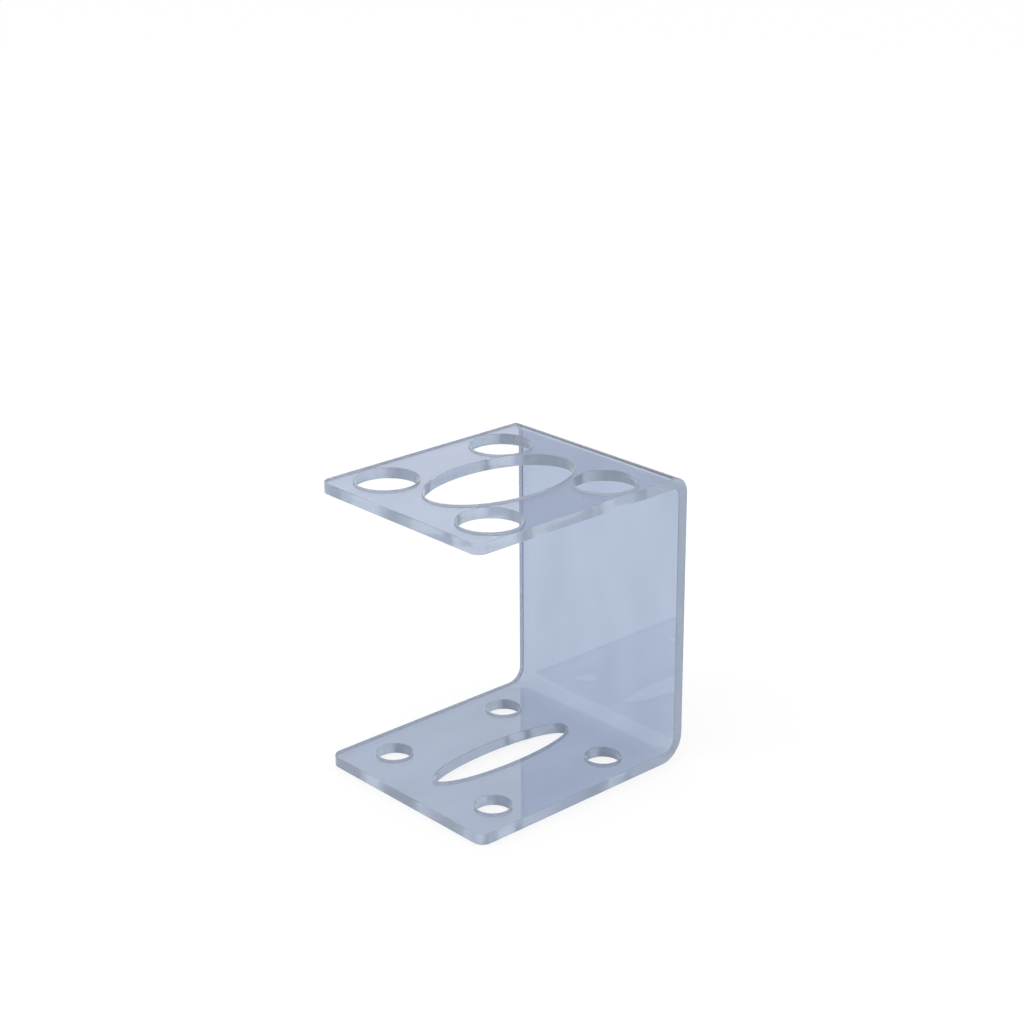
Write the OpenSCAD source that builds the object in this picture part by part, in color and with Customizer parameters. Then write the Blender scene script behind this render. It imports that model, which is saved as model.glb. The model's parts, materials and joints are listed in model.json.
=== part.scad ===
// Clear holder bent from one sheet into a C that stands on its lower leaf.
// X runs across the width, Y from the open front to the back, Z up.
// The origin is under the middle of the holder, on the surface that it stands on.

/* [Sheet] */
// Thickness of the sheet
sheet_t = 4; // [3:0.5:5]
// Inside radius of the bend between the back and the shelf
upper_bend_r = 2.5; // [1.5:0.5:8]
// Inside radius of the bend between the base and the back
lower_bend_r = 5.5; // [2:0.5:8]
// Radius of the free corners of both leaves
corner_r = 4; // [1:0.5:12]

/* [Overall] */
// Width across the holder
width = 80; // [70:1:140]
// Depth from the free edges to the outside of the back
depth = 94; // [80:1:140]
// Height from the ground to the top of the shelf
height = 106; // [60:1:180]

/* [Round holes] */
// Diameter of the handle holes in the shelf
handle_hole_d = 22; // [16:0.5:25]
// Diameter of the seat holes in the base, straight below
seat_hole_d = 12.5; // [8:0.5:14]
// Sheet left between a handle hole and the side edge
side_web = 3; // [2:0.5:5]
// Sheet left between the front handle holes and the free edge
front_web = 6.5; // [3:0.5:9]
// Sheet left between the rear handle holes and the wider of the two bends
rear_web = 4.5; // [3:0.5:8]

/* [Oval openings] */
// Sheet left in front of the shelf's oval
oval_front_web = 15; // [10:0.5:20]
// Sheet left between the shelf's oval and the wider of the two bends
oval_rear_web = 9.5; // [6:0.5:16]
// How far the shelf's oval swells past the inner sides of the handle holes
oval_swell = 3; // [0:0.5:3.5]
// Width of the base's oval
base_oval_w = 16; // [10:0.5:20]
// How much further the base's oval runs at each end than the shelf's
base_oval_extra = 1; // [0:0.5:4]

/* [Hidden] */
$fn = 96;
// Colours of the sheet seen through its faces and along a bend
face_tint = [0.72, 0.77, 0.86, 0.6];
bend_tint = [0.64, 0.69, 0.79, 0.6];
// How far a cut runs past the face that it opens
overrun = 1;
front_y = -depth / 2;
back_y = depth / 2;
half_w = width / 2;
// The outside of each bend, and where the flat part that both leaves have ends
upper_out_r = upper_bend_r + sheet_t;
lower_out_r = lower_bend_r + sheet_t;
flat_end_y = back_y - max(upper_out_r, lower_out_r);
// Centres of the round holes, the same in both leaves
hole_r = handle_hole_d / 2;
hole_x = half_w - side_web - hole_r;
hole_ys = [front_y + front_web + hole_r, flat_end_y - rear_web - hole_r];
// Ends of the shelf's oval, and the middle and sizes of both ovals
oval_front_y = front_y + oval_front_web;
oval_rear_y = flat_end_y - oval_rear_web;
oval_y = (oval_front_y + oval_rear_y) / 2;
shelf_oval_w = 2 * (hole_x - hole_r + oval_swell);
shelf_oval_l = oval_rear_y - oval_front_y;
base_oval_l = shelf_oval_l + 2 * base_oval_extra;

// Ellipse with its long axis from front to back
module oval(oval_w, oval_l) {
    turns = [for (i = [0 : $fn - 1]) 360 * i / $fn];
    polygon([for (a = turns) [oval_w / 2 * cos(a), oval_l / 2 * sin(a)]]);
}

// Outline of a leaf that ends at rear_y: square there, rounded at the two free corners
module leaf_outline(rear_y) {
    translate([-half_w, front_y + corner_r])
        square([width, rear_y - front_y - corner_r]);
    translate([corner_r - half_w, front_y])
        square([width - 2 * corner_r, corner_r]);
    for (side = [-1, 1])
        translate([side * (half_w - corner_r), front_y + corner_r])
            circle(r = corner_r);
}

// Flat leaf whose lower face is at bottom_z, with four round holes and one oval
module leaf(bottom_z, rear_y, hole_d, oval_w, oval_l) {
    difference() {
        translate([0, 0, bottom_z])
            linear_extrude(sheet_t)
                leaf_outline(rear_y);
        for (x = [-hole_x, hole_x], y = hole_ys)
            translate([x, y, bottom_z - overrun])
                cylinder(d = hole_d, h = sheet_t + 2 * overrun);
        translate([0, oval_y, bottom_z - overrun])
            linear_extrude(sheet_t + 2 * overrun)
                oval(oval_w, oval_l);
    }
}

// Quarter bend about a line across the holder at axis_z, turned from pointing down
module bend(inside_r, axis_z, turn) {
    translate([-half_w, back_y - sheet_t - inside_r, axis_z])
        rotate([0, 90, 0])
            rotate([0, 0, turn])
                rotate_extrude(angle = 90)
                    translate([inside_r, 0])
                        square([sheet_t, width]);
}

// Lower leaf, which the holder stands on
module base_plate() {
    color(face_tint)
        leaf(0, back_y - lower_out_r, seat_hole_d, base_oval_w, base_oval_l);
}

// Bend from the base up into the back
module lower_bend() {
    color(bend_tint)
        bend(lower_bend_r, lower_out_r, 0);
}

// Upright panel between the two bends
module back_panel() {
    color(face_tint)
        translate([-half_w, back_y - sheet_t, lower_out_r])
            cube([width, sheet_t, height - lower_out_r - upper_out_r]);
}

// Bend from the back forward into the shelf
module upper_bend() {
    color(bend_tint)
        bend(upper_bend_r, height - upper_out_r, 90);
}

// Upper leaf, which what stands in the holder passes through
module top_shelf() {
    color(face_tint)
        leaf(height - sheet_t, back_y - upper_out_r, handle_hole_d, shelf_oval_w, shelf_oval_l);
}

base_plate();
lower_bend();
back_panel();
upper_bend();
top_shelf();
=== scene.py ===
# Clear holder bent from one laser-cut acrylic sheet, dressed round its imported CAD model
import json
from math import cos, pi, radians, sin

import bpy
import numpy as np
from mathutils import Matrix, Vector


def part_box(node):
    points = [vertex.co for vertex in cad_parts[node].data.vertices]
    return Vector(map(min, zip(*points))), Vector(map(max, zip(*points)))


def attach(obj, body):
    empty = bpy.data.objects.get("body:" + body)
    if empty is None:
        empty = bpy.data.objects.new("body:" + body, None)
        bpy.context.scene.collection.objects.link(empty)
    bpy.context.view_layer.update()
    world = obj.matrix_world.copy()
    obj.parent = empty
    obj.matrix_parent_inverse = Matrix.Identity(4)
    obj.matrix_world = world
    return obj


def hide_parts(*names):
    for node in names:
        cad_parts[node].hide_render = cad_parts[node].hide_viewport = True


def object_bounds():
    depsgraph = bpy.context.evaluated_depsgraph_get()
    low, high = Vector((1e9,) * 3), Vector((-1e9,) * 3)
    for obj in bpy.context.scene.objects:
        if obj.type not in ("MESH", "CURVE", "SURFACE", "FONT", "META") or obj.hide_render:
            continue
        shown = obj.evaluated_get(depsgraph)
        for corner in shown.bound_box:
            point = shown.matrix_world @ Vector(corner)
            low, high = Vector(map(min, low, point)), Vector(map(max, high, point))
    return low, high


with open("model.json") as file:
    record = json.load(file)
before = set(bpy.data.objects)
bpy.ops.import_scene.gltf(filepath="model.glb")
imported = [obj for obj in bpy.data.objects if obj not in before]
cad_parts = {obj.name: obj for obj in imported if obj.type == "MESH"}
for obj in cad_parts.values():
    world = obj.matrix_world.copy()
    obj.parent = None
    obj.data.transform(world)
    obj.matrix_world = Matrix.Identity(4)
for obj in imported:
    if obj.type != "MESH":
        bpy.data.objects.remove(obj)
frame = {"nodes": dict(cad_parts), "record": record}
cadLow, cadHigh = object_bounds()
mm = 0.001
print("frame loaded:", len(frame["nodes"]), "nodes")


# The flat blank. x runs across it, s along its outer face from the shelf's free end to the base's,
# and d down through its thickness from the outer face
shelfLow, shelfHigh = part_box("top_shelf")
baseLow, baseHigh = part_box("base_plate")
boreAt = {m["name"]: m for m in frame["record"]["mounts"] if m["kind"] == "bore"}
sheet = {
    "thickness": shelfHigh.z - shelfLow.z,
    "halfWidth": shelfHigh.x,
    "height": shelfHigh.z,
    "front": shelfLow.y,
    "upperBend": cadHigh.y - shelfHigh.y,   # outside radii of the two bends
    "lowerBend": cadHigh.y - baseHigh.y,
    "corner": 4 * mm,       # radius of the free corners
    "lip": 0.3 * mm,        # rounding where a cut meets a face
    "lipSteps": 4,
    "wallSteps": 3,
    "bendSteps": 24,
    "panelSteps": 16,
    "rings": 8,             # rings of faces round each round hole
    "mergeStep": 1e-4 * mm,     # points of the blank that round to the same step are one
}

# Lengths along the outer face at which the shelf, the bends and the panel end
shelfEnd = shelfHigh.y - sheet["front"]
upperEnd = shelfEnd + sheet["upperBend"] * pi / 2
lowerStart = upperEnd + sheet["height"] - sheet["upperBend"] - sheet["lowerBend"]
baseStart = lowerStart + sheet["lowerBend"] * pi / 2

# Both leaves: where y falls along s, the flat part's rear end, the holes and the oval
holeX, frontHoleY = boreAt["handle_hole_front_right"]["pos_m"][:2]
rearHoleY = boreAt["handle_hole_rear_right"]["pos_m"][1]
oval = {"middle": -2 * mm, "shelfHalf": (18 * mm, 30 * mm), "baseHalf": (8 * mm, 31 * mm)}
leaves = {
    "shelf": {
        "origin": -sheet["front"],
        "way": 1,
        "rear": shelfHigh.y,
        "holeRadius": boreAt["handle_hole_rear_right"]["dims"]["r_mm"] * mm,
        "ovalHalf": oval["shelfHalf"],
    },
    "base": {
        "origin": baseStart + baseHigh.y,
        "way": -1,
        "rear": baseHigh.y,
        "holeRadius": boreAt["seat_hole_rear_right"]["dims"]["r_mm"] * mm,
        "ovalHalf": oval["baseHalf"],
    },
}

# One quarter of a leaf lies round one hole. Its loop runs along the seam beside the oval, up the side,
# round the corner, back along the end, down to the oval and along it to the seam. The strip between the
# oval's tip and the leaf's end is a patch of its own
quarter = {
    "steps": {"seam": 12, "side": 28, "corner": 12, "end": 16, "web": 8, "oval": 32},
    "rimAngles": {      # place on the hole's rim, in degrees, where each part of the loop starts
        "seam": -110, "side": -65, "corner": 38, "end": 52, "web": 125, "oval": 150, "close": 250,
    },
    "tipSteps": 12,             # columns of the strip on each side of the middle
    "tipStart": radians(60),    # place on the oval where the strip starts, with the tip at 90 degrees
    "stripHalf": 10 * mm,       # half the strip's width at the leaf's end
}


# Straight run: start plus i/count of the way to end, with the end left for the next run
def straightRun(start, end, count):
    share = np.arange(count)[:, None] / count
    return np.asarray(start) * (1 - share) + np.asarray(end) * share


# Arc of an ellipse: centre plus (rx cos a, ry sin a), moved out by gap along the ellipse's own normal,
# which is (ry cos a, rx sin a) made one long
def arcRun(centre, radii, gap, angles):
    way = np.stack([radii[1] * np.cos(angles), radii[0] * np.sin(angles)], -1)
    way /= np.linalg.norm(way, axis=-1, keepdims=True)
    ring = np.stack([radii[0] * np.cos(angles), radii[1] * np.sin(angles)], -1)
    return np.asarray(centre) + ring + gap * way, way


# Quarter leaf as a grid: the point at share w on ring line i is (1 - w) rim(i) + w loop(i). Where the grid
# meets a cut, its second array holds the way out of the material, and it is zero elsewhere
def quarterLeaf(leaf, reach, holeHeight, free):
    lip, steps = sheet["lip"], quarter["steps"]
    side = sheet["halfWidth"] - lip
    top = reach - lip if free else reach
    turn = sheet["corner"] if free else 0
    names = [n for n in steps if free or n != "corner"]
    ovalAngles = np.linspace(quarter["tipStart"], 0, steps["oval"] + 1)
    ovalLine, ovalWay = arcRun((0, 0), leaf["ovalHalf"], lip, ovalAngles)
    stripEnd = (quarter["stripHalf"], top)
    runs = {
        "seam": straightRun(ovalLine[-1], (side, 0), steps["seam"]),
        "side": straightRun((side, 0), (side, reach - turn), steps["side"]),
        "end": straightRun((sheet["halfWidth"] - turn if free else side, top), stripEnd, steps["end"]),
        "web": straightRun(stripEnd, ovalLine[0], steps["web"]),
        "oval": ovalLine[:-1],
    }
    ways = {n: np.zeros_like(run) for n, run in runs.items()}
    ways["seam"][0] = (-1, 0)
    ways["side"][:] = (1, 0)
    ways["oval"] = -ovalWay[:-1]
    if free:
        cornerAngles = pi / 2 * np.arange(steps["corner"]) / steps["corner"]
        middle = (sheet["halfWidth"] - turn, reach - turn)
        runs["corner"], ways["corner"] = arcRun(middle, (turn, turn), -lip, cornerAngles)
        ways["end"][:] = (0, 1)
        ways["web"][0] = (0, 1)
    else:
        ways["end"][0] = (1, 0)
    loop = np.concatenate([runs[n] for n in names])
    loopWay = np.concatenate([ways[n] for n in names])
    starts = np.cumsum([0] + [steps[n] for n in names])
    turns = [quarter["rimAngles"][n] for n in names + ["close"]]
    rimAngle = np.radians(np.interp(np.arange(len(loop)), starts, turns))
    radius = leaf["holeRadius"]
    rim, rimWay = arcRun((holeX, holeHeight), (radius, radius), lip, rimAngle)
    share = np.linspace(0, 1, sheet["rings"] + 1)[:, None, None]
    ways = np.zeros((len(share),) + loop.shape)
    ways[0], ways[-1] = -rimWay, loopWay
    return rim * (1 - share) + loop * share, ways


# Strip past the oval's tip: the point at share w in column i is (1 - w) oval(i) + w end(i)
def tipStrip(leaf, reach, free):
    columns, lip = 2 * quarter["tipSteps"] + 1, sheet["lip"]
    angles = np.linspace(quarter["tipStart"], pi - quarter["tipStart"], columns)
    ovalLine, ovalWay = arcRun((0, 0), leaf["ovalHalf"], lip, angles)
    across = np.linspace(quarter["stripHalf"], -quarter["stripHalf"], columns)
    end = np.stack([across, np.full(columns, reach - lip if free else reach)], -1)
    share = np.linspace(0, 1, quarter["steps"]["web"] + 1)[:, None, None]
    ways = np.zeros((len(share), columns, 2))
    ways[0] = -ovalWay
    if free:
        ways[-1] = (0, 1)
    return ovalLine * (1 - share) + end * share, ways


# Quads of a grid of points: each cell joins rows r and r + 1 at columns c and c + 1
def gridFaces(rows, columns, closed):
    index = np.arange(rows * columns).reshape(rows, columns)
    if closed:
        index = np.concatenate([index, index[:, :1]], 1)
    corners = index[:-1, :-1], index[1:, :-1], index[1:, 1:], index[:-1, 1:]
    return np.stack(corners, -1).reshape(-1, 4)


# The whole blank as one flat mesh: eight quarter leaves, four strips and, between the leaves, a plain grid
# over the bends and the back. Points that fall together are merged
def flatBlank():
    points, ways, faces, count = [], [], [], 0

    def add(grid, way, closed):
        nonlocal count
        faces.append(gridFaces(*grid.shape[:2], closed) + count)
        points.append(grid.reshape(-1, 2))
        ways.append(way.reshape(-1, 2))
        count += len(points[-1])

    for leaf in leaves.values():
        for up in (1, -1):
            reach = leaf["rear"] - oval["middle"] if up > 0 else oval["middle"] - sheet["front"]
            holeHeight = up * ((rearHoleY if up > 0 else frontHoleY) - oval["middle"])
            start = np.array([0, leaf["origin"] + leaf["way"] * oval["middle"]])
            grid, way = quarterLeaf(leaf, reach, holeHeight, up < 0)
            for hand in (1, -1):
                turned = np.array([hand, up * leaf["way"]])
                add(grid * turned + start, way * turned, True)
            grid, way = tipStrip(leaf, reach, up < 0)
            turned = np.array([1, up * leaf["way"]])
            add(grid * turned + start, way * turned, False)
    side, strip = sheet["halfWidth"] - sheet["lip"], quarter["stripHalf"]
    wing = np.linspace(side, strip, quarter["steps"]["end"] + 1)[:-1]
    across = np.concatenate([wing, np.linspace(strip, -strip, 2 * quarter["tipSteps"] + 1), -wing[::-1]])
    along = np.concatenate([
        np.linspace(shelfEnd, upperEnd, sheet["bendSteps"] + 1)[:-1],
        np.linspace(upperEnd, lowerStart, sheet["panelSteps"] + 1)[:-1],
        np.linspace(lowerStart, baseStart, sheet["bendSteps"] + 1),
    ])
    grid = np.stack(np.meshgrid(across, along), -1)
    way = np.zeros_like(grid)
    way[:, 0], way[:, -1] = (1, 0), (-1, 0)
    add(grid, way, False)

    points, ways, faces = (np.concatenate(a) for a in (points, ways, faces))
    key = np.round(points / sheet["mergeStep"]).astype(np.int64)
    _, first, merged = np.unique(key, axis=0, return_index=True, return_inverse=True)
    total = np.zeros((len(first), 2))
    np.add.at(total, merged.ravel(), ways)
    length = np.linalg.norm(total, axis=1, keepdims=True)
    leastLength = 1e-9    # a point away from every cut has no way out, and is divided by this
    faces = merged.ravel()[faces]
    points, ways = points[first], total / np.maximum(length, leastLength)
    # Half the cross product of a cell's diagonals is its area, and a cell that runs clockwise is reversed
    diagonalA = points[faces[:, 2]] - points[faces[:, 0]]
    diagonalB = points[faces[:, 3]] - points[faces[:, 1]]
    area = diagonalA[:, 0] * diagonalB[:, 1] - diagonalA[:, 1] * diagonalB[:, 0]
    faces[area < 0] = faces[area < 0][:, ::-1]
    return points, ways, faces


# Carries the blank round its two bends. The outer face has turned by angles a and b in the upper and lower
# bend; its point is front + flat length + R sin a - r (1 - cos b) in y and height - R (1 - cos a) - panel
# length - r sin b in z, its normal (0, sin(a + b), cos(a + b)), and depth d goes in along that normal
def bendBlank(x, s, d):
    bigR, smallR = sheet["upperBend"], sheet["lowerBend"]
    upper = np.clip((s - shelfEnd) / bigR, 0, pi / 2)
    lower = np.clip((s - lowerStart) / smallR, 0, pi / 2)
    turned, none = upper + lower, np.zeros_like(s)
    y = sheet["front"] + np.minimum(s, shelfEnd) + bigR * np.sin(upper)
    y = y - smallR * (1 - np.cos(lower)) - np.maximum(s - baseStart, 0)
    z = sheet["height"] - bigR * (1 - np.cos(upper)) - smallR * np.sin(lower)
    z = z - np.clip(s - upperEnd, 0, lowerStart - upperEnd)
    normal = np.stack([none, np.sin(turned), np.cos(turned)], -1)
    along = np.stack([none, np.cos(turned), -np.sin(turned)], -1)
    place = np.stack([x, y, z], -1) - d[..., None] * normal
    return place, normal, along


# Closed sheet: the flat mesh twice, as outer and inner face, joined by a profile carried along every cut.
# The profile turns by b from the outer face's normal (0) through the cut's (90 degrees) to the inner one's
def bentSheet():
    flat, ways, faces = flatBlank()
    count, thickness, lip = len(flat), sheet["thickness"], sheet["lip"]
    edges = np.stack([faces, np.roll(faces, -1, 1)], -1).reshape(-1, 2)
    codes, back = edges[:, 0] * count + edges[:, 1], edges[:, 1] * count + edges[:, 0]
    cuts = edges[~np.isin(codes, back)]    # edges that only one cell has
    rims = np.unique(cuts)
    quarterTurn = np.linspace(0, pi / 2, sheet["lipSteps"] + 1)
    turn = np.concatenate([quarterTurn, np.full(sheet["wallSteps"] - 1, pi / 2), pi / 2 + quarterTurn])
    out = lip * np.sin(turn)
    depth = np.concatenate([
        lip * (1 - np.cos(quarterTurn)),
        np.linspace(lip, thickness - lip, sheet["wallSteps"] + 1)[1:-1],
        thickness - lip + lip * np.sin(quarterTurn),
    ])
    inside = slice(1, -1)    # both ends of the profile are points of the two faces
    wall = flat[rims][:, None] + ways[rims][:, None] * out[inside][:, None]
    wallDepth = np.broadcast_to(depth[inside], wall.shape[:2])
    blankPoints = np.concatenate([
        np.column_stack([flat, np.zeros(count)]),
        np.column_stack([flat, np.full(count, thickness)]),
        np.concatenate([wall, wallDepth[..., None]], -1).reshape(-1, 3),
    ])
    place, normal, along = bendBlank(*blankPoints.T)
    perRim = len(turn) - 2
    wallWay = np.repeat(ways[rims], perRim, 0)
    wallTurn = np.tile(turn[inside], len(rims))[:, None]
    wayOut = wallWay[:, :1] * np.array([1, 0, 0]) + wallWay[:, 1:] * along[2 * count:]
    normal[count:2 * count] *= -1
    normal[2 * count:] = normal[2 * count:] * np.cos(wallTurn) + wayOut * np.sin(wallTurn)

    column = np.empty((count, perRim + 2), np.int64)
    column[rims, 1:-1] = 2 * count + np.arange(len(rims) * perRim).reshape(-1, perRim)
    column[rims, 0], column[rims, -1] = rims, rims + count
    near, far = column[cuts[:, 0]], column[cuts[:, 1]]
    wallFaces = np.stack([far[:, :-1], near[:, :-1], near[:, 1:], far[:, 1:]], -1).reshape(-1, 4)
    allFaces = np.concatenate([faces, faces[:, ::-1] + count, wallFaces])
    cutFace = np.arange(len(allFaces)) >= 2 * len(faces)
    return place, normal, blankPoints, allFaces, cutFace


place, normal, blankPoints, faces, cutFace = bentSheet()
mesh = bpy.data.meshes.new("bentSheet")
mesh.from_pydata(place.tolist(), [], faces.tolist())
mesh.polygons.foreach_set("use_smooth", np.ones(len(faces), bool))
mesh.polygons.foreach_set("material_index", cutFace.astype(np.int32))
blankMap = mesh.attributes.new("blank", "FLOAT_VECTOR", "POINT")
blankMap.data.foreach_set("vector", blankPoints.astype(np.float32).ravel())
mesh.normals_split_custom_set_from_vertices(normal)
holder = bpy.data.objects.new("bentSheet", mesh)
bpy.context.scene.collection.objects.link(holder)
print("bent sheet:", len(place), "points,", len(faces), "faces")


# New material with nothing in it but its output
def newMaterial(name):
    material = bpy.data.materials.new(name)
    material.use_nodes = True
    tree = material.node_tree
    tree.nodes.clear()
    return material, tree, tree.nodes.new("ShaderNodeOutputMaterial")


# Node of a kind, with its properties and its unlinked inputs set by name
def addNode(tree, kind, **values):
    node = tree.nodes.new("ShaderNode" + kind)
    for name, value in values.items():
        if hasattr(node, name):
            setattr(node, name, value)
        else:
            node.inputs[name.replace("_", " ")].default_value = value
    return node


# Clear sheet. Its tint is on the faces, as light goes in and out, with a little more through its depth
acrylic = {
    "ior": 1.49,
    "depthTint": (0.80, 0.84, 0.89, 1),
    "depthDensity": 22.0,
    "bounces": 32,          # light runs far inside the sheet before it comes out at a cut
    "grainDetail": 3.0,
    "grainRange": (0.25, 0.75),     # noise at which the dull tint starts and is full
}
finishes = {
    "polishedFace": {
        "tint": (0.475, 0.55, 0.705, 1),
        "dullTint": (0.41, 0.48, 0.62, 1),      # in the smudges
        "clear": 0.96,      # share of the light let through, the rest being a milky haze
        "roughness": (0.0, 0.03),
        "stretch": (1, 0.3, 0),     # smudges about three times as long down the sheet as wide
        "grain": 55.0,
        "bump": (0.05, 0.02 * mm),
    },
    "laserCutEdge": {
        "tint": (0.61, 0.69, 0.82, 1),
        "dullTint": (0.55, 0.63, 0.76, 1),      # in the laser's lines
        "clear": 0.66,
        "roughness": (0.18, 0.25),
        "stretch": (1, 1, 0),       # lines straight through the thickness, so depth is left out
        "grain": 1100.0,
        "bump": (0.06, 0.05 * mm),
    },
}


# Noise on the blank's own lengths, stretched by the finish, drives tint, roughness and bump together
def acrylicMaterial(name, finish):
    material, tree, output = newMaterial(name)
    blank = addNode(tree, "Attribute", attribute_name="blank")
    stretched = addNode(tree, "Mapping", Scale=finish["stretch"])
    tree.links.new(blank.outputs["Vector"], stretched.inputs["Vector"])
    grain = addNode(tree, "TexNoise", Scale=finish["grain"], Detail=acrylic["grainDetail"])
    tree.links.new(stretched.outputs["Vector"], grain.inputs["Vector"])
    share = addNode(tree, "MapRange")
    share.inputs["From Min"].default_value, share.inputs["From Max"].default_value = acrylic["grainRange"]
    tree.links.new(grain.outputs["Fac"], share.inputs["Value"])

    surface = addNode(tree, "BsdfPrincipled", IOR=acrylic["ior"], Transmission_Weight=finish["clear"])
    tint = addNode(tree, "ValToRGB")
    tint.color_ramp.elements[0].color = finish["tint"]
    tint.color_ramp.elements[1].color = finish["dullTint"]
    tree.links.new(share.outputs["Result"], tint.inputs["Fac"])
    tree.links.new(tint.outputs["Color"], surface.inputs["Base Color"])
    rough = addNode(tree, "MapRange")
    rough.inputs["To Min"].default_value, rough.inputs["To Max"].default_value = finish["roughness"]
    tree.links.new(share.outputs["Result"], rough.inputs["Value"])
    tree.links.new(rough.outputs["Result"], surface.inputs["Roughness"])
    bump = addNode(tree, "Bump")
    bump.inputs["Strength"].default_value, bump.inputs["Distance"].default_value = finish["bump"]
    tree.links.new(grain.outputs["Fac"], bump.inputs["Height"])
    tree.links.new(bump.outputs["Normal"], surface.inputs["Normal"])
    tree.links.new(surface.outputs["BSDF"], output.inputs["Surface"])
    depth = addNode(tree, "VolumeAbsorption")
    depth.inputs["Color"].default_value = acrylic["depthTint"]
    depth.inputs["Density"].default_value = acrylic["depthDensity"]
    tree.links.new(depth.outputs["Volume"], output.inputs["Volume"])
    return material


for name, finish in finishes.items():
    mesh.materials.append(acrylicMaterial(name, finish))
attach(holder, "root")
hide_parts("base_plate", "lower_bend", "back_panel", "upper_bend", "top_shelf")
cycles = bpy.context.scene.cycles
cycles.max_bounces = cycles.glossy_bounces = cycles.transmission_bounces = acrylic["bounces"]
print("acrylic on")


# Studio: a plain pale floor and world, white to the camera and in what glass and gloss show
studio = {
    "floorSize": 8.0,
    "floorDrop": 0.05 * mm,
    "floorColour": (0.98, 0.98, 0.98, 1),
    "floorWhite": 1.0,
    "whiteShare": 0.75,     # of the floor's look that is plain white, the rest taking light and shadow
    "worldColour": (1, 1, 1, 1),
    "worldLight": 1.0,
}


# One for rays from the camera, a gloss or a transmission, none for the rest
def seenRay(tree):
    path = addNode(tree, "LightPath")
    seen = addNode(tree, "Math", operation="MAXIMUM")
    either = addNode(tree, "Math", operation="MAXIMUM")
    tree.links.new(path.outputs["Is Camera Ray"], seen.inputs[0])
    tree.links.new(path.outputs["Is Glossy Ray"], seen.inputs[1])
    tree.links.new(seen.outputs["Value"], either.inputs[0])
    tree.links.new(path.outputs["Is Transmission Ray"], either.inputs[1])
    return either


floorMesh = bpy.data.meshes.new("floor")
half = studio["floorSize"] / 2
floorCorners = [
    (x, y, -studio["floorDrop"])
    for x, y in ((-half, -half), (half, -half), (half, half), (-half, half))
]
floorMesh.from_pydata(floorCorners, [], [(0, 1, 2, 3)])
floor = bpy.data.objects.new("floor", floorMesh)
bpy.context.scene.collection.objects.link(floor)
floorMaterial, tree, output = newMaterial("paleFloor")
seen = seenRay(tree)
share = addNode(tree, "Math", operation="MULTIPLY")
share.inputs[1].default_value = studio["whiteShare"]
tree.links.new(seen.outputs["Value"], share.inputs[0])
matt = addNode(tree, "BsdfDiffuse", Color=studio["floorColour"])
white = addNode(tree, "Emission", Strength=studio["floorWhite"])
mix = addNode(tree, "MixShader")
tree.links.new(share.outputs["Value"], mix.inputs["Fac"])
tree.links.new(matt.outputs["BSDF"], mix.inputs[1])
tree.links.new(white.outputs["Emission"], mix.inputs[2])
tree.links.new(mix.outputs["Shader"], output.inputs["Surface"])
floorMesh.materials.append(floorMaterial)

world = bpy.data.worlds.new("studio")
bpy.context.scene.world = world
world.use_nodes = True
tree = world.node_tree
tree.nodes.clear()
sky = addNode(tree, "Background", Color=studio["worldColour"], Strength=studio["worldLight"])
worldOutput = addNode(tree, "OutputWorld")
tree.links.new(sky.outputs["Background"], worldOutput.inputs["Surface"])

# Soft square lamps, all aimed at the middle of the holder
lamps = {
    "key": {"at": (-0.55, -0.75, 1.0), "size": (0.35, 0.35), "watts": 1.6},
    "fill": {"at": (0.9, -0.5, 0.7), "size": (0.5, 0.5), "watts": 1.2},
    "back": {"at": (-0.2, 0.9, 0.8), "size": (0.4, 0.4), "watts": 0.8},
}
target = Vector((0, 0, (cadLow.z + cadHigh.z) / 2))
for name, lamp in lamps.items():
    light = bpy.data.lights.new(name, "AREA")
    light.shape, light.energy = "RECTANGLE", lamp["watts"]
    light.size, light.size_y = lamp["size"]
    lightObject = bpy.data.objects.new(name, light)
    lightObject.location = lamp["at"]
    lightObject.visible_camera = False
    lightObject.rotation_euler = (target - Vector(lamp["at"])).to_track_quat("-Z", "Y").to_euler()
    bpy.context.scene.collection.objects.link(lightObject)
print("studio lit")


# Camera: azimuth 0 looks along +Y and 90 along -X. Angles, distance, aim and lens fit the photograph's view
view = {
    "azimuth": 47.887,
    "elevation": 20.932,
    "roll": -0.427,
    "distance": 727.947 * mm,
    "aim": (-9.246 * mm, 11.852 * mm, 87.853 * mm),
    "focalPixels": 2115.342,    # focal length in pixels of a frame this wide
    "frameWidth": 1024,
    "sensorWidth": 36,
    "nearest": 0.01,            # metres from the camera at which it starts to see
}
azimuth, elevation, roll = (radians(view[n]) for n in ("azimuth", "elevation", "roll"))
forward = Vector((-sin(azimuth) * cos(elevation), cos(azimuth) * cos(elevation), -sin(elevation)))
right = forward.cross(Vector((0, 0, 1))).normalized()
upward = right.cross(forward)
rolledRight = right * cos(roll) + upward * sin(roll)
rolledUp = upward * cos(roll) - right * sin(roll)
cameraData = bpy.data.cameras.new("camera")
cameraData.sensor_width = view["sensorWidth"]
cameraData.lens = view["focalPixels"] * view["sensorWidth"] / view["frameWidth"]
cameraData.clip_start = view["nearest"]
camera = bpy.data.objects.new("camera", cameraData)
pose = Matrix((rolledRight, rolledUp, -forward)).transposed().to_4x4()
pose.translation = Vector(view["aim"]) - forward * view["distance"]
camera.matrix_world = pose
bpy.context.scene.collection.objects.link(camera)
bpy.context.scene.camera = camera

bpy.context.scene.view_settings.view_transform = "Standard"
bpy.context.view_layer.update()
